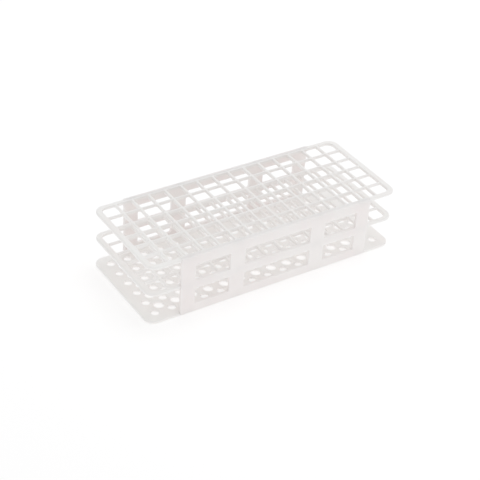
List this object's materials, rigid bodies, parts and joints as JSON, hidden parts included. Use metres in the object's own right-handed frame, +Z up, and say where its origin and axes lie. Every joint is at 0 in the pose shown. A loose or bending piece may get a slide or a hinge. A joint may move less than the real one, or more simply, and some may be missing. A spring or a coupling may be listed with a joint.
{
  "type": "test tube rack",
  "caption": "Three-tier plastic test tube rack: two trays with a grid of square cells over a perforated bottom tray, joined by two side walls with six windows each.",
  "frame": {"origin": "centre of the footprint, on the plane that the rack stands on", "axes": "+X along the rack, +Y from the front wall to the rear wall, +Z up"},
  "size_m": [0.2424, 0.098, 0.0558],
  "materials": {
    "tray_plastic": "natural white polypropylene, satin",
    "wall_plastic": "natural white polypropylene, satin"
  },
  "bodies": {
    "root": {"top_tray": "tray_plastic", "middle_tray": "tray_plastic", "bottom_tray": "tray_plastic", "front_wall": "wall_plastic", "rear_wall": "wall_plastic"}
  },
  "joints": []
}
